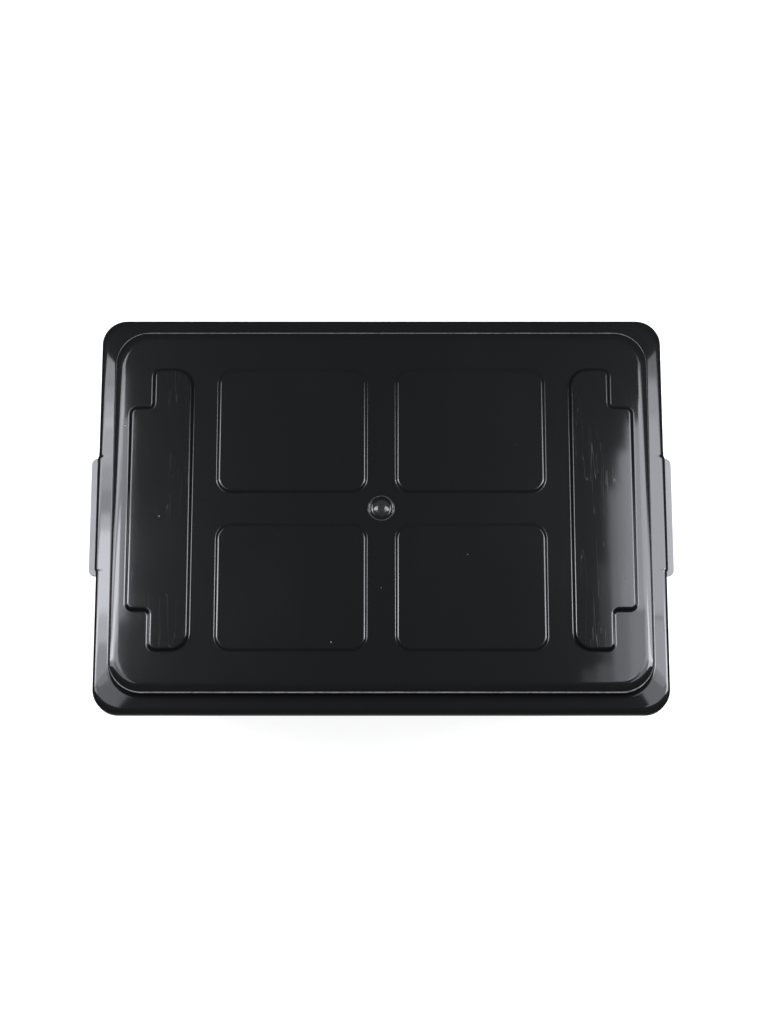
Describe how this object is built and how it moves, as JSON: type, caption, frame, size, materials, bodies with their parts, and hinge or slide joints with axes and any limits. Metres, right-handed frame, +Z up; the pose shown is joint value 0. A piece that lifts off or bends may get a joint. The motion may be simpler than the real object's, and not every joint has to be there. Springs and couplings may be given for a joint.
{
  "type": "attached lid tote",
  "caption": "Tapered nestable storage tote with a rear-hinged one-piece lid in raised relief, two swing latches at its ends and recessed hand grips.",
  "frame": {"origin": "centre of the footprint on the surface that the tote stands on", "axes": "+X along the long side, -Y towards the front, +Z up"},
  "size_m": [0.5664, 0.3894, 0.3145],
  "materials": {
    "tote_plastic": "light grey moulded polypropylene, fine satin texture",
    "lid_plastic": "glossy black moulded polypropylene with fine scratches",
    "latch_plastic": "light grey moulded polypropylene, satin",
    "pin_steel": "bright drawn steel wire"
  },
  "bodies": {
    "tote": {"tote_body": "tote_plastic", "hinge_pin_left": "pin_steel", "hinge_pin_centre": "pin_steel", "hinge_pin_right": "pin_steel"},
    "lid": {"lid": "lid_plastic", "latch_pin_left": "pin_steel", "latch_pin_right": "pin_steel"},
    "latch_left": {"latch_left": "latch_plastic"},
    "latch_right": {"latch_right": "latch_plastic"}
  },
  "joints": [
    {"name": "lid_hinge", "type": "hinge", "parent": "tote", "child": "lid", "pos_m": [0, 0.1865, 0.276], "axis": [-1, 0, 0], "range_deg": [0, 110]},
    {"name": "latch_left_pivot", "type": "hinge", "parent": "lid", "child": "latch_left", "pos_m": [-0.2682, 0, 0.2826], "axis": [0, 1, 0], "range_deg": [-12, 90]},
    {"name": "latch_right_pivot", "type": "hinge", "parent": "lid", "child": "latch_right", "pos_m": [0.2682, 0, 0.2826], "axis": [0, -1, 0], "range_deg": [-12, 90]}
  ]
}
